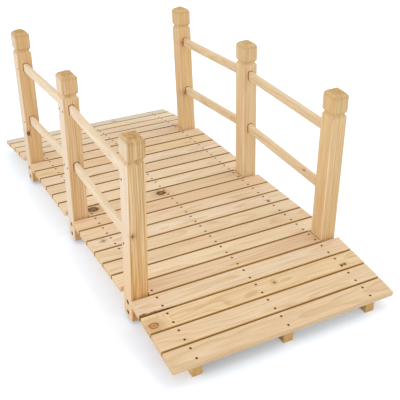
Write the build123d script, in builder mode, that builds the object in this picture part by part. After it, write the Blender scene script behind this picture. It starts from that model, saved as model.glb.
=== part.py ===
from build123d import *

import os
from collections import namedtuple
from math import atan2, copysign, cos, degrees, radians, sin

# Garden moon bridge in plain softwood, about 60 in long: three arched runners carry
# 23 deck boards, and six capped posts carry two rails on each side.
# +X runs along the bridge to its near end, +Y across it, +Z up. The runners' feet stand
# on z = 0, and the origin is under the middle of the deck.

# Deck boards
board_count = 23
board_width = 62.0
board_gap = 4.3
board_length = 670.0
board_thickness = 15.0
board_edge_chamfer = 1.0

# Deck line: a nearly level crown, then a ramp that bends down at each end
crown_boards = 15
crown_radius = 36000.0
ramp_start_angle = 5.9
ramp_radius = 5800.0

# Runners, cut from one wide board each
runner_depth = 74.0
runner_thickness = 28.0
runner_end_recess = 9.0
runner_foot_length = 150.0
runner_arch_rise = 12.0

# Posts
post_length_x = 54.0
post_width_y = 49.0
post_inset = 7.0
post_lean = 3.5
post_board = 7
post_below_deck = 76.0
post_arris_chamfer = 1.5
post_board_clearance = 2.0

# Post heads, measured up the post from the deck
shoulder_height = 398.0
neck_half_height = 9.0
neck_depth = 6.0
cap_block_height = 46.0
cap_bevel_rise = 8.0
cap_bevel_inset = 6.5
cap_peak_rise = 8.0
cap_peak_flat = 2.0

# Rails
rail_height = 32.0
rail_thickness = 15.0
rail_edge_radius = 6.5
upper_rail_on_middle_post = 365.0
lower_rail_on_middle_post = 179.0
upper_rail_on_end_post = 348.0
lower_rail_on_end_post = 156.0

# Mortises: the rail beds on the bottom of its mortise and has play on the other sides
mortise_depth = 20.0
mortise_side_play = 1.9
mortise_top_play = 1.0
mortise_end_play = 0.3

# Bolts that hold each post to its runner
bolt_hole_radius = 3.25
bolt_recess_radius = 7.0
bolt_recess_depth = 9.0
upper_bolt_below_deck = 28.0
lower_bolt_below_deck = 61.0

board_pitch = board_width + board_gap
crown_half_length = crown_boards / 2 * board_pitch
deck_half_length = board_count / 2 * board_pitch - board_gap / 2
post_outer_y = board_length / 2 - post_inset
post_inner_y = post_outer_y - post_width_y
post_centre_y = post_outer_y - post_width_y / 2
runner_offset = post_inner_y - runner_thickness / 2
rail_heights_on_middle_post = {"upper": upper_rail_on_middle_post, "lower": lower_rail_on_middle_post}
rail_heights_on_end_post = {"upper": upper_rail_on_end_post, "lower": lower_rail_on_end_post}
bolt_drops_below_deck = (upper_bolt_below_deck, lower_bolt_below_deck)
sides = {"left": -1, "right": 1}
bays = {"near": 1, "far": -1}
DeckPoint = namedtuple("DeckPoint", "x z slope")


def deck_line(along):
    """The boards' underside, at a distance along the deck from mid-span."""
    crown = min(abs(along), crown_half_length)
    ramp = abs(along) - crown
    slope = crown / crown_radius
    x = crown_radius * sin(slope)
    z = runner_depth - crown_radius * (1 - cos(slope))
    if ramp > 0:
        start = slope + radians(ramp_start_angle)
        slope = start + ramp / ramp_radius
        x += ramp_radius * (sin(slope) - sin(start))
        z += ramp_radius * (cos(slope) - cos(start))
    return DeckPoint(copysign(x, along), z, copysign(slope, along))


def leaning_plane(x, y, z, lean):
    """A plane across an upright that leans towards +X by an angle in radians."""
    return Plane(origin=(x, y, z), x_dir=(cos(lean), 0, -sin(lean)), z_dir=(sin(lean), 0, cos(lean)))


def save(piece, name):
    piece.part.label = name
    export_step(piece.part, f"parts/{name}.step")


# Posts stand in the deck's thickness, so their heights count from the boards' top.
def post_frame(place, side):
    """The post's own axes at deck level; place is 1 near, 0 middle, -1 far."""
    point = deck_line(place * post_board * board_pitch)
    top = board_thickness
    return leaning_plane(
        point.x + top * sin(point.slope),
        side * post_centre_y,
        point.z + top * cos(point.slope),
        radians(place * post_lean),
    )


def rail_line(bay, side, level):
    """Where a rail's axis crosses the middle post's axis and the end post's axis."""
    middle = post_frame(0, side)
    end = post_frame(bay, side)
    start = middle.origin + middle.z_dir * rail_heights_on_middle_post[level]
    finish = end.origin + end.z_dir * rail_heights_on_end_post[level]
    return start, finish


def rail_ends(bay, side, level):
    """The two ends of a rail, each inside its post, and the rail's length."""
    start, finish = rail_line(bay, side, level)
    run = (finish - start).normalized()
    buried = post_length_x / 2 - mortise_depth + mortise_end_play
    return start + run * buried, finish - run * buried, run


def rail_section_plane(origin, run):
    """A plane across a rail with its local Y upwards."""
    return Plane(origin=origin, x_dir=(0, copysign(1, run.X), 0), z_dir=run)


def make_board(number):
    place = deck_line(((board_count + 1) / 2 - number) * board_pitch)
    beside_post = abs(number - (board_count + 1) / 2) in (0, post_board)
    length = 2 * (post_inner_y - post_board_clearance) if beside_post else board_length
    frame = leaning_plane(place.x, 0, place.z, place.slope)
    with BuildPart() as board:
        with BuildSketch(frame):
            Rectangle(board_width, length)
        extrude(amount=board_thickness)
        top = board.faces().sort_by(Axis(frame.origin, frame.z_dir))[-1]
        chamfer(top.edges(), board_edge_chamfer)
    return board


def make_runner(y, holes):
    """A runner with an arched top, and a shallow relief arch between its two feet."""
    end = deck_line(deck_half_length - runner_end_recess)
    kink = deck_line(crown_half_length)
    ramp_middle = deck_line((crown_half_length + deck_half_length - runner_end_recess) / 2)
    foot_x = end.x - runner_foot_length
    with BuildPart() as runner:
        with BuildSketch(Plane.XZ.offset(-y)):
            with BuildLine():
                ThreePointArc((-kink.x, kink.z), (0, runner_depth), (kink.x, kink.z))
                ramp = ThreePointArc((kink.x, kink.z), (ramp_middle.x, ramp_middle.z), (end.x, end.z))
                front = Line(ramp @ 1, (end.x, 0))
                foot = Line(front @ 1, (foot_x, 0))
                mirror(ramp, about=Plane.YZ)
                mirror(front, about=Plane.YZ)
                mirror(foot, about=Plane.YZ)
                ThreePointArc((foot_x, 0), (0, runner_arch_rise), (-foot_x, 0))
            make_face()
        extrude(amount=runner_thickness / 2, both=True)
        for place in holes:
            frame = post_frame(place, copysign(1, y))
            for drop in bolt_drops_below_deck:
                spot = frame.origin - frame.z_dir * drop
                with Locations(Plane(origin=(spot.X, y, spot.Z), z_dir=(0, 1, 0))):
                    Cylinder(bolt_hole_radius, 2 * runner_thickness, mode=Mode.SUBTRACT)
    return runner


def grow_section(frame, height, inset, rise, taper=0.0):
    """One storey of the post: its section, drawn in by inset, carried up by rise."""
    with BuildSketch(frame.offset(height)) as section:
        Rectangle(post_length_x - 2 * inset, post_width_y - 2 * inset)
    extrude(section.sketch, amount=rise, taper=taper)


def make_post(place, side):
    frame = post_frame(place, side)
    neck_taper = degrees(atan2(neck_depth, neck_half_height))
    bevel_taper = degrees(atan2(cap_bevel_inset, cap_bevel_rise))
    peak_inset = (post_width_y - cap_peak_flat) / 2 - cap_bevel_inset
    peak_taper = degrees(atan2(peak_inset, cap_peak_rise))
    neck_height = shoulder_height + neck_half_height
    block_height = neck_height + neck_half_height
    bevel_height = block_height + cap_block_height
    peak_height = bevel_height + cap_bevel_rise
    with BuildPart() as post:
        grow_section(frame, -post_below_deck, 0, post_below_deck + shoulder_height)
        grow_section(frame, shoulder_height, 0, neck_half_height, neck_taper)
        grow_section(frame, neck_height, neck_depth, neck_half_height, -neck_taper)
        grow_section(frame, block_height, 0, cap_block_height)
        grow_section(frame, bevel_height, 0, cap_bevel_rise, bevel_taper)
        grow_section(frame, peak_height, cap_bevel_inset, cap_peak_rise, peak_taper)
        arrises = post.edges().filter_by(Axis(frame.origin, frame.z_dir))
        chamfer(arrises, post_arris_chamfer)
        cut_mortises(place, side)
        cut_bolt_holes(frame, side)
    return post


def cut_mortises(place, side):
    """A rounded mortise for every rail that ends in this post."""
    slot_width = rail_thickness + 2 * mortise_side_play
    slot_height = rail_height + mortise_top_play
    for bay in bays.values():
        if place not in (0, bay):
            continue
        for level in rail_heights_on_middle_post:
            start, finish, run = rail_ends(bay, side, level)
            if place == 0:
                plane = rail_section_plane(start - run * mortise_end_play, run)
            else:
                plane = rail_section_plane(finish + run * mortise_end_play, run)
            out = 2 * mortise_depth if place == 0 else -2 * mortise_depth
            with BuildSketch(plane) as slot:
                with Locations((0, mortise_top_play / 2)):
                    RectangleRounded(slot_width, slot_height, rail_edge_radius)
            extrude(slot.sketch, amount=out, mode=Mode.SUBTRACT)


def cut_bolt_holes(frame, side):
    """Recessed bolt holes through the foot of the post."""
    outward = Vector(0, side, 0)
    face = frame.origin + outward * post_width_y / 2
    for drop in bolt_drops_below_deck:
        with Locations(Plane(origin=face - frame.z_dir * drop, z_dir=outward)):
            CounterBoreHole(bolt_hole_radius, bolt_recess_radius, bolt_recess_depth, post_width_y)


def make_rail(bay, side, level):
    start, finish, run = rail_ends(bay, side, level)
    with BuildPart() as rail:
        with BuildSketch(rail_section_plane(start, run)):
            RectangleRounded(rail_thickness, rail_height, rail_edge_radius)
        extrude(amount=(finish - start).length)
    return rail


os.makedirs("parts", exist_ok=True)

for number in range(1, board_count + 1):
    save(make_board(number), f"deck_board_{number:02d}")

save(make_runner(0, ()), "runner_middle")
for side_name, side in sides.items():
    save(make_runner(side * runner_offset, (-1, 0, 1)), f"runner_{side_name}")
    save(make_post(0, side), f"post_{side_name}_middle")
    for bay_name, bay in bays.items():
        save(make_post(bay, side), f"post_{side_name}_{bay_name}")
        for level in rail_heights_on_middle_post:
            save(make_rail(bay, side, level), f"rail_{side_name}_{bay_name}_{level}")
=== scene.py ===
from functools import partial
from math import cos, pi, radians, sin
from random import Random

import bmesh
import bpy
from mathutils import Matrix, Vector


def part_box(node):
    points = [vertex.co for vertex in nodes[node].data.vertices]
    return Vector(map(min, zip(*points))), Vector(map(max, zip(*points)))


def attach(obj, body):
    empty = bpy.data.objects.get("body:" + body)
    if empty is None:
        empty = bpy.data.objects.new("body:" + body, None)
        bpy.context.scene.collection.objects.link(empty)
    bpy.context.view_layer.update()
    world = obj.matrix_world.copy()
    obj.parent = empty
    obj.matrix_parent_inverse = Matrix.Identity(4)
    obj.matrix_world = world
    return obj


# A small garden moon bridge in plain, unstained pine on a white studio floor.
# Metres; +X runs along the bridge to its near end, +Y across it, +Z up.

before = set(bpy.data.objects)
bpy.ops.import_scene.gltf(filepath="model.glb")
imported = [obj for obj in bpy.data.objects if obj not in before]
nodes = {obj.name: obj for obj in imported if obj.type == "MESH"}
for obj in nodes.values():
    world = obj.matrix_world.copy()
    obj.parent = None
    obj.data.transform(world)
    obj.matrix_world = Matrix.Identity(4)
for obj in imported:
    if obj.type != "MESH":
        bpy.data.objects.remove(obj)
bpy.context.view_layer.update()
scene = bpy.context.scene

SIDES = {"left": -1, "right": 1}
PLACES = {"near": 1, "middle": 0, "far": -1}
BOARDS = [f"deck_board_{number:02d}" for number in range(1, 24)]
RUNNERS = [f"runner_{place}" for place in ("left", "middle", "right")]
POSTS = [f"post_{side}_{place}" for side in SIDES for place in PLACES]
RAILS = [
    f"rail_{side}_{bay}_{level}"
    for side in SIDES
    for bay in ("near", "far")
    for level in ("upper", "lower")
]

# Camera, from the lines of the deck, posts and runners in the photograph
CAMERA_PLACE = (2.1481, -0.95021, 1.34348)
CAMERA_AZIMUTH = radians(29.031)
CAMERA_ELEVATION = radians(23.757)
CAMERA_LENS = 71.96
CAMERA_SHIFT = (-0.075, -0.175)


def make_camera():
    data = bpy.data.cameras.new("camera")
    data.sensor_width = 36
    data.lens = CAMERA_LENS
    data.shift_x, data.shift_y = CAMERA_SHIFT
    data.clip_end = 50
    camera = bpy.data.objects.new("camera", data)
    level = cos(CAMERA_ELEVATION)
    back = Vector((cos(CAMERA_AZIMUTH) * level, -sin(CAMERA_AZIMUTH) * level, sin(CAMERA_ELEVATION)))
    camera.rotation_mode = "QUATERNION"
    camera.rotation_quaternion = back.to_track_quat("Z", "Y")
    camera.location = CAMERA_PLACE
    scene.collection.objects.link(camera)
    scene.camera = camera


make_camera()
scene.view_settings.view_transform = "Standard"

# Deck boards; the short ones stand between posts, and the one at mid-span lies level
SHORT_BOARDS = (5, 12, 19)
board_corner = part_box("deck_board_12")[1]
BOARD_HALF_WIDTH = board_corner.x
SHORT_BOARD_HALF_LENGTH = board_corner.y

# Nails: two in each board over each runner
NAIL_ROWS = 0.265
NAIL_FROM_MIDDLE = 0.0174
NAIL_RADIUS = 0.0025

# Posts; the middle ones are upright, and the others lean outwards along the bridge
post_low, post_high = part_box("post_right_middle")
POST_HALF_X = post_high.x
POST_HALF_Y = (post_high.y - post_low.y) / 2
POST_MIDDLE_Y = (post_high.y + post_low.y) / 2
POST_FACE_Y = post_high.y
POST_LEAN = radians(3.5)
# Where each post's axis is at deck level: along the bridge, and up
POST_FOOT = {"near": (0.4643, 0.086), "middle": (0.0, 0.089), "far": (-0.4643, 0.086)}
# Heights above a post's middle: where the marks on its shaft end, its shoulder, and where the
# top of its head begins
POST_SHAFT_TOP = 0.19
POST_SHOULDER = 0.197
POST_HEAD_TOP = 0.253

# Rails, and how much of each end is in its mortise
RAIL_HEIGHT = 0.032
RAIL_BURIED = 0.02

# Screws into the rails' ends: how far from the post's middle, and how far up the post
SCREW_FROM_MIDDLE = 0.016
SCREW_HEIGHTS = {"middle": (0.359, 0.174), "near": (0.344, 0.152), "far": (0.344, 0.152)}

# Bolts at the foot of each post, in recesses, through the runner behind it
BOLT_DROPS = {"upper": 0.028, "lower": 0.061}
RECESS_FLOOR_Y = POST_FACE_Y - 0.009
RUNNER_INNER_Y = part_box("runner_right")[0].y


# Materials


def linear(code):
    """A hex sRGB colour as linear RGBA."""
    values = [int(code[i : i + 2], 16) / 255 for i in (1, 3, 5)]
    return [v / 12.92 if v <= 0.04045 else ((v + 0.055) / 1.055) ** 2.4 for v in values] + [1.0]


def add_node(tree, kind, inputs=(), output=0, stops=(), **settings):
    """Adds a node with its settings, links and colour stops, and returns one of its outputs.

    Inputs go by order or by name or number. A hex colour is turned to linear.
    """
    node = tree.nodes.new("ShaderNode" + kind)
    for name, value in settings.items():
        setattr(node, name, value)
    for name, value in inputs.items() if isinstance(inputs, dict) else enumerate(inputs):
        if isinstance(value, bpy.types.NodeSocket):
            tree.links.new(value, node.inputs[name])
        else:
            node.inputs[name].default_value = linear(value) if isinstance(value, str) else value
    for number, (place, colour) in enumerate(stops):
        elements = node.color_ramp.elements
        element = elements[number] if number < len(elements) else elements.new(place)
        element.position = place
        element.color = linear(colour) if isinstance(colour, str) else (colour, colour, colour, 1)
    return node.outputs[output] if node.outputs else None


def new_material(name):
    """An empty material, and the function that adds nodes to it."""
    material = bpy.data.materials.new(name)
    material.use_nodes = True
    material.node_tree.nodes.clear()
    return material, partial(add_node, material.node_tree)


# A Mix node set to colours has its factor at input 0, the colours at 6 and 7, and output 2.
PAINT = {"output": 2, "data_type": "RGBA"}
TINT = {"blend_type": "MULTIPLY", **PAINT}

# Pine: yellow-white sapwood of a fast-grown softwood, sawn from logs and run through a planer,
# the runners only sawn. Each ring is pale early wood that darkens to a thin amber band of late
# wood. Fine fibres run along the timber, the ends show arcs of rings, and a knot is a brown oval
# that the rings bend round.

# Cells of noise a metre along, across and into the timber, and how fine it breaks up:
# fibres are about 1 mm wide, streaks 8 mm, and patches of tone 70 mm.
GRAIN = {
    "wander": ((2.2, 8, 8), 2.0),
    "streak": ((4, 130, 130), 2.0),
    "fibre": ((11, 900, 900), 3.0),
    "blotch": ((3.5, 14, 14), 2.0),
}
# How far the trunk wanders from side to side, in metres
TRUNK_WANDER = 0.026
# Metres from ring to ring in a Wave texture of scale 1
WAVE_RING = 0.314
# How dark the wood is from one ring's start to the next: pale early wood, then late wood
LATE_WOOD = [(0.0, 0.1), (0.5, 0.22), (0.86, 1.0), (0.95, 0.9), (1.0, 0.1)]

# A knot's size along the timber, across it and into it, in its own radius
KNOT_STRETCH = (1.2, 1.0, 4.0)
# Cells of noise a metre, 6 mm each, that make a knot's outline uneven
KNOT_RAGGED = 160.0
# How tightly the rings bend round a knot, and how far, in its own radius
KNOT_BENDS = {
    "live": (0.28, 3.4),
    "eye": (0.35, 1.1),
    "dark": (0.35, 1.1),
    "smear": (0.4, 0.4),
    "faint": (0.6, 0.1),
}
# A knot's colours from its heart to its rim
KNOT_TONES = {
    "live": [
        (0.0, "#A8703A"),
        (0.3, "#BE8648"),
        (0.5, "#C6925A"),
        (0.7, "#B47A44"),
        (0.86, "#844A1E"),
        (0.94, "#A0642E"),
        (1.0, "#CCA070"),
    ],
    "eye": [(0.0, "#6E4018"), (0.2, "#A87038"), (0.42, "#A06830"), (0.62, "#54300E"), (1.0, "#6E441C")],
    "dark": [(0.0, "#9A7450"), (0.45, "#86603C"), (0.75, "#5E3C18"), (1.0, "#8A6234")],
    "smear": [(0.0, "#8A5428"), (0.5, "#A66E3C"), (1.0, "#C8965E")],
    "faint": [(0.0, "#76562E"), (0.5, "#947040"), (1.0, "#C8A470")],
}
# Where a knot's colour starts and where it is full, in its own radius
CRISP_RIM = (1.25, 1.0)
SOFT_RIM = (1.0, 0.2)
KNOT_RIMS = {"live": CRISP_RIM, "eye": CRISP_RIM, "dark": CRISP_RIM, "smear": SOFT_RIM, "faint": SOFT_RIM}

# Knots that show in the photograph: how far each lies from its timber's middle along the grain,
# across it and out through the best face, its radius and its look
KNOTS = {
    "deck_board_03": [
        ((-0.3155, -0.009, 0.0076), 0.011, "live"),
        ((0.0515, 0.0029, 0.0076), 0.007, "faint"),
        ((0.267, -0.014, 0.0075), 0.0036, "dark"),
        ((0.278, -0.014, 0.0075), 0.004, "dark"),
    ],
    "deck_board_09": [
        ((-0.2902, 0.0125, 0.0075), 0.008, "faint"),
        ((0.2656, -0.0125, 0.0075), 0.006, "faint"),
    ],
    "deck_board_12": [
        ((-0.0171, 0.0031, 0.0075), 0.0122, "eye"),
        ((-0.2519, 0.0074, 0.0075), 0.0138, "dark"),
    ],
    "deck_board_23": [((0.0962, -0.0128, 0.0076), 0.006, "smear")],
    "post_right_far": [
        ((0.1454, 0.012, 0.0325), 0.006, "smear"),
        ((-0.0511, 0.013, 0.0345), 0.007, "smear"),
    ],
    "post_left_near": [((-0.004, 0.0155, 0.0274), 0.0065, "faint")],
    "post_left_far": [((-0.089, 0.0192, 0.0266), 0.006, "dark")],
    "rail_right_near_lower": [((0.1268, 0.0088, 0.0075), 0.004, "faint")],
}


class Timber:
    """Where one timber lies: its middle, the way its grain runs and the way its best face looks."""

    def __init__(self, name, along, face):
        low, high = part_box(name)
        self.middle = (low + high) / 2
        grain = Vector(along).normalized()
        across = Vector(face).cross(grain).normalized()
        self.axes = Matrix((grain, across, grain.cross(across))).transposed()
        corners = nodes[name].data.vertices
        self.half_length = max(abs((corner.co - self.middle).dot(grain)) for corner in corners)


def grain_noise(add, square, shift):
    """The noise of every layer of the grain, drawn out along the timber."""
    grown = add("VectorMath", (square, (shift, 0, 0)), operation="ADD")
    grain = {}
    for layer, (cells, detail) in GRAIN.items():
        placed = add("Mapping", {"Vector": grown, "Scale": cells})
        grain[layer] = add("TexNoise", {"Vector": placed, "Scale": 1.0, "Detail": detail}).node.outputs
    return grain


def knot_fields(add, square, knots):
    """How far the knots lift the rings, how much they crowd them, and how far off each knot is.

    The way to a knot is in its own radius, roughened a little, and comes with the knot's look.
    """
    if not knots:
        return 0.0, 0.0, []
    wobble = add("TexNoise", {"Vector": square, "Scale": KNOT_RAGGED, "Detail": 1.0})
    wobble = add("MapRange", (wobble, 0.0, 1.0, -0.3, 0.3))
    lift = 0.0
    crowding = 0.0
    spots = []
    for place, radius, look in knots:
        size = [radius * stretch for stretch in KNOT_STRETCH]
        spot = {"Vector": square, "Location": place, "Scale": size}
        away = add("Mapping", spot, vector_type="TEXTURE")
        away = add("VectorMath", (away,), "Value", operation="LENGTH")
        away = add("Math", (away, wobble), operation="ADD")
        tight, reach = KNOT_BENDS[look]
        swell = add("Math", (away, away), operation="MULTIPLY")
        swell = add("Math", (swell, -tight), operation="MULTIPLY")
        swell = add("Math", (swell,), operation="EXPONENT")
        lift = add("Math", (swell, radius * reach, lift), operation="MULTIPLY_ADD")
        crowding = add("Math", (swell, crowding), operation="MAXIMUM")
        spots.append((away, look))
    return lift, crowding, spots


def growth_rings(add, square, wander, pith, lift, ring, chance):
    """Rings round the pith; the trunk wanders, so they run out on a face as long pointed arches."""
    sideways, endways = chance.uniform(-0.02, 0.02), chance.uniform(-0.03, 0.03)
    lean = Matrix.Rotation(sideways, 3, "Y") @ Matrix.Rotation(endways, 3, "Z")
    wander = add("VectorMath", (wander, (0.5, 0.5, 0.5)), operation="SUBTRACT")
    log = {"Vector": square, "Location": (0, *pith), "Rotation": lean.to_euler()}
    log = add("Mapping", log, vector_type="TEXTURE")
    log = add("VectorMath", (wander, (0, TRUNK_WANDER, TRUNK_WANDER), log), operation="MULTIPLY_ADD")
    log = add("VectorMath", (log, add("CombineXYZ", {"Z": lift})), operation="ADD")
    return add(
        "TexWave",
        {"Vector": log, "Scale": WAVE_RING / ring, "Phase Offset": chance.uniform(0, 6)},
        "Fac",
        wave_type="RINGS",
        rings_direction="X",
        wave_profile="SAW",
    )


def pine(node, cut, timber, pith, light, dark, blush=0.0, ring=0.0035, figure=0.35, marks=()):
    """Pine for one node's timber, planed or sawn.

    Pith is where the log's middle is, across and behind the best face. Light and dark are early
    and late wood, blush is how pink the wood is, ring how far apart its rings are and figure how
    streaky it is.
    """
    name = f"{cut}_pine_{node}"
    material, add = new_material(name)
    chance = Random(name)
    inputs = add("TexCoord").node.outputs
    # Each place in the timber's own axes: along the grain, across it, and out through its face
    square = add(
        "Mapping",
        {"Vector": inputs["Object"], "Location": timber.middle, "Rotation": timber.axes.to_euler()},
        vector_type="TEXTURE",
    )
    grain = grain_noise(add, square, chance.uniform(-9, 9))
    streak = grain["streak"]["Fac"]
    fibre = grain["fibre"]["Fac"]
    lift, crowding, spots = knot_fields(add, square, KNOTS.get(node, ()))
    rings = growth_rings(add, square, grain["wander"]["Color"], pith, lift, ring, chance)

    late = add("ValToRGB", (rings,), stops=LATE_WOOD)
    late = add("Math", (late, add("MapRange", (streak, 0.3, 0.7, 0.3, 1.0))), operation="MULTIPLY")
    late = add("Math", (late, add("MapRange", (crowding, 0.0, 1.0, 1.0, 0.4))), operation="POWER")
    colour = add("Mix", {0: late, 6: light, 7: dark}, **PAINT)
    streaky = add("MapRange", (streak, 0.35, 0.75, 0.0, figure))
    colour = add("Mix", {0: streaky, 6: colour, 7: dark}, **PAINT)
    if spots:
        crowded = add("MapRange", (crowding, 0.02, 0.3, 0.0, 0.9))
        crowded = add("Math", (late, crowded), operation="MULTIPLY")
        colour = add("Mix", {0: crowded, 6: colour, 7: "#B88650"}, **PAINT)
    pink = add("MapRange", (grain["blotch"]["Fac"], 0.35, 0.7, blush * 0.5, blush + 0.15))
    colour = add("Mix", {0: pink, 6: colour, 7: "#F8E0D2"}, **TINT)
    shade = add("MapRange", (fibre, 0.25, 0.6, 0.3, 0.0))
    colour = add("Mix", {0: shade, 6: colour, 7: "#8A7458"}, **TINT)
    for away, look in spots:
        inside = add("MapRange", (away, *KNOT_RIMS[look]))
        knot = add("ValToRGB", (away,), stops=KNOT_TONES[look])
        colour = add("Mix", {0: inside, 6: colour, 7: knot}, **PAINT)

    # The sawn ends drink in light
    end = add("VectorMath", (inputs["Normal"], timber.axes.col[0]), "Value", operation="DOT_PRODUCT")
    end = add("Math", (end,), operation="ABSOLUTE")
    end = add("MapRange", (end, 0.7, 0.87))
    faded = add("Math", (end, 0.4), operation="MULTIPLY")
    colour = add("Mix", {0: faded, 6: colour, 7: "#E0C8A4"}, **TINT)
    for mark in marks:
        colour = mark(add, colour, square)
    rough = add("MapRange", (late, 0.0, 1.0, 0.66, 0.54))
    height = add("Math", (late, fibre), operation="ADD")
    surface = {
        "Base Color": colour,
        "Roughness": add("Math", (end, 0.25, rough), operation="MULTIPLY_ADD"),
        "IOR": 1.5,
        "Specular IOR Level": 0.3,
        "Normal": add("Bump", {"Height": height, "Strength": 0.3, "Distance": 0.0003}),
    }
    add("OutputMaterial", (add("BsdfPrincipled", surface),))
    return material


# Marks on the pine. Each takes the colour so far and the place in the timber's own axes. Pairs of
# sizes say where a mark starts and where it is full.
# The ring of rust and painted shadow round each nail
NAIL_RUST_AND_SHADE = (0.0048, 0.0026)
# The painted shade in a board's gaps, by distance in from its edges
GAP_SHADE_FROM_EDGE = (0.0026, 0.001)
# The painted highlight on the posts' corners, by depth under their faces
HIGHLIGHT_DEPTH = (0.0019, 0.0016)
# The painted shade in the mortises and bolt holes, by depth under the posts' faces
RECESS_SHADE_DEPTH = (0.0006, 0.0012)
AMBER_RUN = (0.04, -0.16)
WANEY_RUN = (-0.225, -0.335)
WANEY_REACH = (0.003, 0.01)


def nail_rust_and_shade(add, colour, square):
    """A small ring round each nail: rust drawn into the wood, and partly a painted shadow of the head."""
    high = (NAIL_ROWS / 2, 2 * NAIL_FROM_MIDDLE, 1)
    low = (-NAIL_ROWS / 2, 0, -1)
    nearest = add("VectorMath", (square, high, low), operation="WRAP")
    nearest = add("VectorMath", (nearest, (0, NAIL_FROM_MIDDLE, 0)), operation="SUBTRACT")
    nearest = add("VectorMath", (nearest, (1, 1, 0)), operation="MULTIPLY")
    away = add("VectorMath", (nearest,), "Value", operation="LENGTH")
    stain = add("MapRange", (away, *NAIL_RUST_AND_SHADE, 0.0, 0.85))
    return add("Mix", {0: stain, 6: colour, 7: "#8C4E0C"}, **PAINT)


def sawn_edges_and_gap_shade(tone, open_side, open_from, add, colour, square):
    """The boards' long edges are straight from the saw, and browner down in the gaps: painted shade.

    Open side, 1 or -1 across the board, is the edge that has no neighbour beyond open from and
    stays pale there, without the painted shade. With 0 both edges have neighbours.
    """
    parts = add("SeparateXYZ", (square,)).node.outputs
    sawn = [BOARD_HALF_WIDTH - reach for reach in GAP_SHADE_FROM_EDGE]
    either = add("Math", (parts["Y"],), operation="ABSOLUTE")
    edge = add("MapRange", (either, *sawn))
    side = add("Math", (parts["Y"], open_side), operation="MULTIPLY")
    bare = add("MapRange", (side, *sawn))
    along = add("Math", (parts["X"],), operation="ABSOLUTE")
    along = add("MapRange", (along, open_from - 0.002, open_from))
    bare = add("Math", (bare, along), operation="MULTIPLY")
    edge = add("Math", (edge, bare), operation="SUBTRACT", use_clamp=True)
    return add("Mix", {0: edge, 6: colour, 7: tone}, **TINT)


def waney_edge(add, colour, square):
    """Bark along the left part of one board's near edge, ragged, in flakes of 7 by 2.5 mm."""
    parts = add("SeparateXYZ", (square,)).node.outputs
    placed = add("Mapping", {"Vector": square, "Scale": (70, 0, 0)})
    ragged = add("TexNoise", {"Vector": placed, "Scale": 1.0, "Detail": 3.0})
    reach = add("MapRange", (ragged, 0.3, 0.7, *WANEY_REACH))
    reach = add("Math", (reach, add("MapRange", (parts["X"], *WANEY_RUN))), operation="MULTIPLY")
    edge = add("Math", (parts["Y"], reach), operation="SUBTRACT")
    edge = add("MapRange", (edge, -BOARD_HALF_WIDTH, -BOARD_HALF_WIDTH - 0.001))
    placed = add("Mapping", {"Vector": square, "Scale": (150, 400, 400)})
    flaked = add("TexNoise", {"Vector": placed, "Scale": 1.0, "Detail": 3.0})
    bark = add("ValToRGB", (flaked,), stops=[(0.42, "#6A4722"), (0.6, "#A8824E")])
    return add("Mix", {0: edge, 6: colour, 7: bark}, **PAINT)


def under_post_faces(add, square):
    """How deep a place lies under a post's faces: Y from its sides, Z from its front and back."""
    place = add("VectorMath", (square,), operation="ABSOLUTE")
    place = add("VectorMath", ((0, POST_HALF_Y, POST_HALF_X), place), operation="SUBTRACT")
    return add("SeparateXYZ", (place,)).node.outputs


def arris_highlight(add, colour, square):
    """A post's corners carry a painted highlight, paler than its faces, in streaks of about 80 mm."""
    depth = under_post_faces(add, square)
    corner = [add("MapRange", (depth[way], *HIGHLIGHT_DEPTH)) for way in "YZ"]
    corner = add("Math", corner, operation="MULTIPLY")
    along = add("SeparateXYZ", (square,), "X")
    below = add("MapRange", (along, POST_SHAFT_TOP, POST_SHAFT_TOP - 0.016))
    placed = add("Mapping", {"Vector": square, "Scale": (12, 60, 60)})
    streaked = add("TexNoise", {"Vector": placed, "Scale": 1.0})
    streaked = add("Math", (below, streaked), operation="MULTIPLY")
    lit_corner = add("Math", (corner, streaked), operation="MULTIPLY")
    return add("Mix", {0: lit_corner, 6: colour, 7: "#FFEBC8"}, **PAINT)


def recess_shade(add, colour, square):
    """The walls of the mortises and the bolt holes are painted dark brown: painted shade."""
    depth = under_post_faces(add, square)
    across, deep = [add("MapRange", (depth[way], *RECESS_SHADE_DEPTH)) for way in "YZ"]
    along = add("SeparateXYZ", (square,), "X")
    below = add("MapRange", (along, POST_SHAFT_TOP, POST_SHAFT_TOP - 0.001))
    inside = add("Math", (deep, below), operation="MULTIPLY")
    inside = add("Math", (across, inside), operation="MULTIPLY")
    return add("Mix", {0: inside, 6: colour, 7: "#8A4E14"}, **PAINT)


def painted_light_left_face(add, colour, square):
    """The faces of the left posts that look to the left are painted pale, almost white: painted light."""
    normal = add("TexCoord", output="Normal")
    out = add("VectorMath", (normal, (0, -1, 0)), "Value", operation="DOT_PRODUCT")
    out = add("MapRange", (out, 0.7, 1.0, 0.0, 0.6))
    return add("Mix", {0: out, 6: colour, 7: "#E8D6BE"}, **PAINT)


def greyer_head(add, colour, square):
    """A post's head is a little greyer than its shaft, and its top a little more."""
    along = add("SeparateXYZ", (square,), "X")
    head = add("MapRange", (along, POST_SHOULDER, POST_SHOULDER + 0.004))
    colour = add("Mix", {0: head, 6: colour, 7: "#F7F5EF"}, **TINT)
    top = add("MapRange", (along, POST_HEAD_TOP, POST_HEAD_TOP + 0.003))
    return add("Mix", {0: top, 6: colour, 7: "#F5F3EC"}, **TINT)


def amber_foot(add, colour, square):
    """The lower part of one post is more amber."""
    foot = add("MapRange", (add("SeparateXYZ", (square,), "X"), *AMBER_RUN))
    return add("Mix", {0: foot, 6: colour, 7: "#FFF3DE"}, **TINT)


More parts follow.
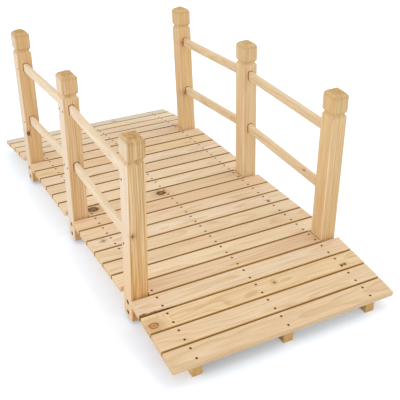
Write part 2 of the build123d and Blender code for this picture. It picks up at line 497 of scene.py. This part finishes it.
def mortise_shade(half_length, add, colour, square):
    """A rail's ends are painted dark brown inside the mortises and for 1.4 mm outside them: painted
    shade.
    """
    along = add("Math", (add("SeparateXYZ", (square,), "X"),), operation="ABSOLUTE")
    mouth = half_length - RAIL_BURIED
    inside = add("MapRange", (along, mouth - 0.0014, mouth))
    return add("Mix", {0: inside, 6: colour, 7: "#8A4E14"}, **PAINT)


def set_material(name, material):
    mesh = nodes[name].data
    mesh.materials.clear()
    mesh.materials.append(material)


def top_face(name):
    """The middle of a board's top face, and the way the face looks."""
    mesh = nodes[name].data
    widest = max(mesh.polygons, key=lambda face: face.area * face.normal.z)
    faces = [face for face in mesh.polygons if face.normal.dot(widest.normal) > 0.9999]
    corners = [mesh.vertices[index].co for face in faces for index in face.vertices]
    return sum(corners, Vector()) / len(corners), widest.normal.copy()


# Early wood and late wood of the boards that stand out from the rest
PALE_WOOD = ("#FBE6C2", "#E6C898")
GOLDEN_WOOD = ("#F5D8AA", "#D8B07C")
BOARD_TONES = {
    1: ("#EFD4AC", "#D9B887"),
    3: GOLDEN_WOOD,
    6: PALE_WOOD,
    13: PALE_WOOD,
    14: PALE_WOOD,
    17: GOLDEN_WOOD,
    22: PALE_WOOD,
    23: ("#EBDDC6", "#D6C2A0"),
}
PINK_BOARD = 5
WANEY_BOARD = 4
# The brown of the sawn edges and the painted shade in the gaps, up to which board; it deepens towards the
# far end
EDGE_AND_GAP_SHADE_TONES = {5: "#E0CC96", 12: "#C4A66C", 23: "#A4803E"}


def board_edges_and_gap_shade(number):
    """The edge mark of a board, painted shade in its gaps: its brown, its open side, and from where on
    that side is open.
    """
    tone = next(tone for last, tone in EDGE_AND_GAP_SHADE_TONES.items() if number <= last)
    if number in (1, len(BOARDS)):
        return partial(sawn_edges_and_gap_shade, tone, -1 if number == 1 else 1, 0.0)
    if number - 1 in SHORT_BOARDS:
        return partial(sawn_edges_and_gap_shade, tone, -1, SHORT_BOARD_HALF_LENGTH)
    if number + 1 in SHORT_BOARDS:
        return partial(sawn_edges_and_gap_shade, tone, 1, SHORT_BOARD_HALF_LENGTH)
    return partial(sawn_edges_and_gap_shade, tone, 0, 1.0)


def dress_boards():
    chance = Random(7)
    for number, name in enumerate(BOARDS, 1):
        timber = Timber(name, (0, 1, 0), top_face(name)[1])
        pith = (chance.uniform(-0.03, 0.03), chance.uniform(-0.14, -0.05))
        blush = 0.5 if number == PINK_BOARD else chance.uniform(0.0, 0.35)
        light = chance.choice(("#F6DFBD", "#F3DAB5", "#F2D6B0", "#F8E4C6"))
        light, dark = BOARD_TONES.get(number, (light, "#DFBE8C"))
        # The edge mark is painted shade in the gaps between boards
        marks = [nail_rust_and_shade, board_edges_and_gap_shade(number)]
        if number == WANEY_BOARD:
            marks.append(waney_edge)
        ring = chance.uniform(0.0025, 0.0045)
        set_material(name, pine(name, "planed", timber, pith, light, dark, blush, ring, marks=marks))


def dress_runners():
    chance = Random(3)
    for name in RUNNERS:
        timber = Timber(name, (1, 0, 0), (0, -1, 0))
        pith = (chance.uniform(-0.05, 0.05), chance.uniform(-0.09, -0.05))
        set_material(name, pine(name, "sawn", timber, pith, "#E9C68C", "#CFA262"))


# Early wood, late wood and streaks of the posts; those on the left are darker in the grain
PLAIN_POST = ("#F2D4A3", "#DBB06F", 0.5)
POST_TONES = {
    "post_left_near": ("#F7DBAA", "#C69350", 0.65),
    "post_left_middle": ("#F3D6A8", "#D2A468", 0.6),
    "post_left_far": ("#E9C693", "#D2A568", 0.5),
    "post_right_middle": ("#F4D9AE", "#DDB679", 0.5),
}
AMBER_POST = "post_left_near"


def dress_posts():
    chance = Random(12)
    for name in POSTS:
        side, place = name.split("_")[1:]
        lean = PLACES[place] * POST_LEAN
        timber = Timber(name, (sin(lean), 0, cos(lean)), (cos(lean), 0, -sin(lean)))
        pith = (chance.choice((-1, 1)) * chance.uniform(0.07, 0.1), -chance.uniform(0.07, 0.1))
        # Left posts get painted light on their outer faces, right posts a painted highlight on their
        # corners, and all painted shade in their mortises and bolt holes
        marks = [painted_light_left_face if side == "left" else arris_highlight, greyer_head, recess_shade]
        if name == AMBER_POST:
            marks.append(amber_foot)
        light, dark, figure = POST_TONES.get(name, PLAIN_POST)
        grown = {"blush": 0.1, "ring": 0.0045, "figure": figure}
        set_material(name, pine(name, "planed", timber, pith, light, dark, marks=marks, **grown))


# Early and late wood of the rails; the left ones are painted paler than the right, as painted light from
# the left
RAIL_TONES_LEFT_PAINTED_LIGHT = {"left": ("#F2DFBE", "#E2C396"), "right": ("#F1DAB1", "#E0BC88")}


def dress_rails():
    chance = Random(5)
    for name in RAILS:
        side, bay = name.split("_")[1:3]
        low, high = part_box(name)
        rise = (RAIL_HEIGHT - (high.z - low.z)) * PLACES[bay]
        timber = Timber(name, (high.x - low.x, 0, rise), (0, -1, 0))
        pith = (chance.uniform(-0.02, 0.02), chance.uniform(-0.06, -0.03))
        # The rails' ends get painted shade at the mortises
        marks = [partial(mortise_shade, timber.half_length)]
        set_material(name, pine(name, "planed", timber, pith, *RAIL_TONES_LEFT_PAINTED_LIGHT[side], blush=0.1, marks=marks))


dress_boards()
dress_runners()
dress_posts()
dress_rails()


# Ironwork


def steel(name, pale, dark, metallic, rough, patches, specular):
    """Steel, dulled in patches by handling and damp; patches is how many there are in a metre."""
    material, add = new_material(name)
    place = add("TexCoord", output="Object")
    patch = add("TexNoise", {"Vector": place, "Scale": patches, "Detail": 4.0})
    surface = {
        "Base Color": add("ValToRGB", (patch,), stops=[(0.35, dark), (0.65, pale)]),
        "Roughness": add("MapRange", (patch, 0.35, 0.65, rough + 0.2, rough)),
        "Metallic": metallic,
        "Specular IOR Level": specular,
        "Normal": add("Bump", {"Height": patch, "Strength": 0.3, "Distance": 0.0001}),
    }
    add("OutputMaterial", (add("BsdfPrincipled", surface),))
    return material


def add_piece(name, build, material, smooth=False):
    mesh = bpy.data.meshes.new(name)
    bmesh.ops.recalc_face_normals(build, faces=build.faces)
    build.to_mesh(mesh)
    build.free()
    for face in mesh.polygons:
        face.use_smooth = smooth
    mesh.materials.append(material)
    piece = bpy.data.objects.new(name, mesh)
    scene.collection.objects.link(piece)
    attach(piece, "root")
    return piece


def facing(place, way):
    """A frame at a place, with Z the way a head looks."""
    return Matrix.Translation(place) @ Vector(way).to_track_quat("Z", "Y").to_matrix().to_4x4()


def turned(profile, steps):
    """A turned shape: a profile of (radius, height), spun all the way round Z."""
    build = bmesh.new()
    points = [build.verts.new((radius, 0, height)) for radius, height in profile]
    edges = [build.edges.new(pair) for pair in zip(points, points[1:])]
    bmesh.ops.spin(
        build,
        geom=points + edges,
        cent=(0, 0, 0),
        axis=(0, 0, 1),
        angle=2 * pi,
        steps=steps,
        use_merge=True,
    )
    bmesh.ops.remove_doubles(build, verts=build.verts, dist=1e-6)
    return build


def six_sided(across_flats, height, start):
    """A forged hexagon with its outer corners rounded off, standing on a height."""
    build = bmesh.new()
    radius = across_flats / 2 / cos(pi / 6)
    lift = Matrix.Translation((0, 0, start + height / 2))
    bmesh.ops.create_cone(
        build, cap_ends=True, segments=6, radius1=radius, radius2=radius, depth=height, matrix=lift
    )
    top = [edge for edge in build.edges if all(vert.co.z > start + height * 0.9 for vert in edge.verts)]
    bmesh.ops.bevel(
        build, geom=top, offset=0.0007, segments=2, affect="EDGES", profile=0.5, material=-1
    )
    return build


def merged(*builds):
    """Several meshes in one."""
    whole = bmesh.new()
    for build in builds:
        part = bpy.data.meshes.new("part")
        build.to_mesh(part)
        build.free()
        whole.from_mesh(part)
        bpy.data.meshes.remove(part)
    return whole


def place_copies(build, places):
    """One mesh with a copy of a shape at every place."""
    shape = bpy.data.meshes.new("shape")
    build.to_mesh(shape)
    build.free()
    whole = bmesh.new()
    for place in places:
        count = len(whole.verts)
        whole.from_mesh(shape)
        whole.verts.ensure_lookup_table()
        bmesh.ops.transform(whole, matrix=place, verts=whole.verts[count:])
    bpy.data.meshes.remove(shape)
    return whole


def make_nails():
    """Dished round heads, driven flush with the boards."""
    # Bare wire steel, rusted dark brown in damp wood, so the heads are matt, with no shine
    nail_steel = steel(
        "rusted_wire_nail_steel",
        pale="#442200",
        dark="#2A1400",
        metallic=0.0,
        rough=0.8,
        patches=900.0,
        specular=0.0,
    )
    chance = Random(21)
    rim = NAIL_RADIUS
    head = [(0, 0.0001), (0.0014, 0.00015), (rim - 0.0004, 0.00035), (rim, 0.0002), (rim, -0.0002)]
    for side, row in (("left", -NAIL_ROWS), ("middle", 0), ("right", NAIL_ROWS)):
        places = []
        for name in BOARDS:
            middle, up = top_face(name)
            across = up.cross(Vector((0, 1, 0)))
            for edge in (-1, 1):
                shift = Vector((0, row + chance.uniform(-0.0012, 0.0012), 0))
                shift += across * (edge * NAIL_FROM_MIDDLE + chance.uniform(-0.0007, 0.0007))
                places.append(facing(middle + shift, up))
        add_piece(f"deck_nails_{side}", place_copies(turned(head, 10), places), nail_steel, True)


def post_frame(side, place):
    """A post's own axes at deck level: X along the bridge and Z up the post."""
    x, z = POST_FOOT[place]
    foot = Matrix.Translation((x, SIDES[side] * POST_MIDDLE_Y, z))
    return foot @ Matrix.Rotation(PLACES[place] * POST_LEAN, 4, "Y")


# A screw's head, as (radius, height) from its middle to its point, and the blades that cut the
# cross recess: length, width and depth, and how far they taper in length and width
SCREW_HEAD = [(0, 0.0003), (0.0022, 0.00035), (0.0036, 0.0001), (0.0038, -0.0004), (0, -0.0035)]
SCREW_BLADE = (0.0042, 0.0009, 0.004)
SCREW_BLADE_TAPER = (0.3, 0.6, 1)


def screw_head(screw_steel):
    """A countersunk head with a cross recess, cut by two crossed tapering blades."""
    body = add_piece("screw_body", turned(SCREW_HEAD, 20), screw_steel)
    cutters = []
    for turn in (0, pi / 2):
        blade = bmesh.new()
        bmesh.ops.create_cube(blade, size=1.0, matrix=Matrix.Diagonal((*SCREW_BLADE, 1)))
        low = [vert for vert in blade.verts if vert.co.z < 0]
        bmesh.ops.scale(blade, vec=SCREW_BLADE_TAPER, verts=low)
        bmesh.ops.rotate(blade, matrix=Matrix.Rotation(turn, 3, "Z"), verts=blade.verts)
        cutter = add_piece(f"screw_cutter_{len(cutters)}", blade, screw_steel)
        cut = body.modifiers.new("recess", "BOOLEAN")
        cut.object = cutter
        cut.operation = "DIFFERENCE"
        cutters.append(cutter)
    cut_mesh = bpy.data.meshes.new_from_object(body.evaluated_get(bpy.context.evaluated_depsgraph_get()))
    for piece in (body, *cutters):
        bpy.data.objects.remove(piece)
    return cut_mesh


def make_screws():
    """Screws through the posts into the rails' ends, countersunk from outside."""
    # Phosphated steel, a soft brown-black coat that hardly shines
    screw_steel = steel(
        "phosphated_screw_steel",
        pale="#2A1B0E",
        dark="#180E06",
        metallic=0.0,
        rough=0.75,
        patches=700.0,
        specular=0.1,
    )
    head = screw_head(screw_steel)
    for side, way in SIDES.items():
        for place, heights in SCREW_HEIGHTS.items():
            shifts = (-1, 1) if place == "middle" else (-PLACES[place],)
            for level, height in zip(("upper", "lower"), heights):
                for shift in shifts:
                    spot = post_frame(side, place) @ Vector((shift * SCREW_FROM_MIDDLE, 0, height))
                    spot.y = way * POST_FACE_Y
                    build = bmesh.new()
                    build.from_mesh(head)
                    turn = Matrix.Rotation(Random(f"{side}{place}{level}{shift}").uniform(0, pi), 4, "Z")
                    matrix = facing(spot, (0, way, 0)) @ turn
                    bmesh.ops.transform(build, matrix=matrix, verts=build.verts)
                    end = "near" if shift > 0 else "far"
                    add_piece(f"rail_screw_{side}_{place}_{level}_{end}", build, screw_steel)


# A bolt, its nut and its washers; lengths down the shank count from the recess's floor
BOLT_RADIUS = 0.003
BOLT_ACROSS_FLATS = 0.01
BOLT_HEAD_HEIGHT = 0.0036
NUT_HEIGHT = 0.0048
THREAD_START = 0.069
THREAD_PITCH = 0.001
THREADS = 9
BOLT_LENGTH = 0.0786
WASHER_THICKNESS = 0.0012


def bolt_shank():
    """A bolt's shank, as (radius, height) from its head to its point, threaded at its end."""
    shank = [(0, 0), (BOLT_RADIUS, 0), (BOLT_RADIUS, -THREAD_START)]
    for thread in range(THREADS):
        height = -THREAD_START - thread * THREAD_PITCH
        shank += [(BOLT_RADIUS, height - 0.0003), (BOLT_RADIUS - 0.0004, height - 0.0008)]
    return shank + [(BOLT_RADIUS - 0.0008, -BOLT_LENGTH), (0, -BOLT_LENGTH)]


def make_bolts():
    """Hexagon bolts in the posts' recesses, with washers and nuts behind the runners."""
    # Black oxide on forged steel, dark with a dull sheen, rubbed brown-grey in patches
    black = steel(
        "black_oxide_bolt_steel",
        pale="#3A3028",
        dark="#1A140E",
        metallic=0.5,
        rough=0.55,
        patches=500.0,
        specular=0.3,
    )
    top = WASHER_THICKNESS
    washer = [(0.0032, 0), (0.0032, top), (0.006, top), (0.0064, top - 0.0003), (0.0064, 0)]
    for side, way in SIDES.items():
        for place in PLACES:
            for level, drop in BOLT_DROPS.items():
                spot = post_frame(side, place) @ Vector((0, 0, -drop))
                outside = facing((spot.x, way * RECESS_FLOOR_Y, spot.z), (0, way, 0))
                inside = facing((spot.x, way * RUNNER_INNER_Y, spot.z), (0, -way, 0))
                end = f"{side}_{place}_{level}"
                head = six_sided(BOLT_ACROSS_FLATS, BOLT_HEAD_HEIGHT, top)
                for name, build, matrix in (
                    (f"foot_bolt_{end}", merged(head, turned(bolt_shank(), 12)), outside),
                    (f"foot_washer_{end}_outer", turned(washer, 20), outside),
                    (f"foot_washer_{end}_inner", turned(washer, 20), inside),
                    (f"foot_nut_{end}", six_sided(BOLT_ACROSS_FLATS, NUT_HEIGHT, top), inside),
                ):
                    bmesh.ops.transform(build, matrix=matrix, verts=build.verts)
                    add_piece(name, build, black)


make_nails()
make_screws()
make_bolts()


# Studio

# The floor is half a millimetre under the runners' feet, so that the faces don't fight.
FLOOR_LEVEL = -0.0005
FLOOR_HALF_SIZE = 12
# The floor glows a little, for the camera alone, so that the ground is white. The glow is weakest
# at a place in front of the near end, which paints a shadow there, and its range says how far from
# there it starts to grow and is full, and how strong it is at both.
GLOW_LOW_POINT = (1.05, -0.6, 0)
GLOW_RANGE = (0.25, 1.0, 0.52, 1.13)


def make_floor():
    mesh = bpy.data.meshes.new("studio_floor")
    build = bmesh.new()
    bmesh.ops.create_grid(build, x_segments=1, y_segments=1, size=FLOOR_HALF_SIZE)
    build.to_mesh(mesh)
    build.free()
    floor = bpy.data.objects.new("studio_floor", mesh)
    floor.location.z = FLOOR_LEVEL
    scene.collection.objects.link(floor)
    # Seamless paper, matt all over, so it shows shadows and no reflections
    material, add = new_material("white_studio_paper")
    paper = {"Base Color": "#F4F4F4", "Roughness": 0.9, "Specular IOR Level": 0.0}
    paper = add("BsdfPrincipled", paper)
    place = add("TexCoord", output="Object")
    away = add("VectorMath", (place, GLOW_LOW_POINT), "Value", operation="DISTANCE")
    strength = add("MapRange", (away, *GLOW_RANGE))
    strength = add("Math", (strength, add("LightPath", output="Is Camera Ray")), operation="MULTIPLY")
    glow = add("Emission", {"Color": "#808C94", "Strength": strength})
    add("OutputMaterial", (add("AddShader", (paper, glow)),))
    mesh.materials.append(material)


def make_world():
    """A soft sky that lights the bridge, white to the camera and to what shines."""
    world = bpy.data.worlds.new("studio")
    scene.world = world
    world.use_nodes = True
    world.node_tree.nodes.clear()
    add = partial(add_node, world.node_tree)
    path = add("LightPath").node.outputs
    seen = add("Math", (path["Is Camera Ray"], path["Is Glossy Ray"]), operation="MAXIMUM")
    seen = add("Math", (seen, path["Is Transmission Ray"]), operation="MAXIMUM")
    soft = add("Background", {"Color": "#F2F5FA", "Strength": 0.9})
    white = add("Background", {"Color": "#FFFFFF", "Strength": 1.0})
    add("OutputWorld", (add("MixShader", (seen, soft, white)),))


def make_lamp(name, place, aim, size, power, colour="#FFFFFF"):
    data = bpy.data.lights.new(name, "AREA")
    data.shape = "RECTANGLE"
    data.size, data.size_y = size
    data.energy = power
    data.color = linear(colour)[:3]
    lamp = bpy.data.objects.new(name, data)
    lamp.location = place
    lamp.rotation_mode = "QUATERNION"
    lamp.rotation_quaternion = (Vector(place) - Vector(aim)).to_track_quat("Z", "Y")
    scene.collection.objects.link(lamp)


make_floor()
make_world()
make_lamp("softbox_left", (0.3, -2.6, 0.9), (0, 0, 0.3), (1.8, 1.2), 24, "#DCE8FF")
make_lamp("softbox_top", (0.2, 1.7, 3.3), (0, 0, 0.1), (2.6, 2.6), 26.5)
make_lamp("softbox_front", (3.6, -0.8, 1.2), (0, 0, 0.3), (2.2, 1.6), 10)
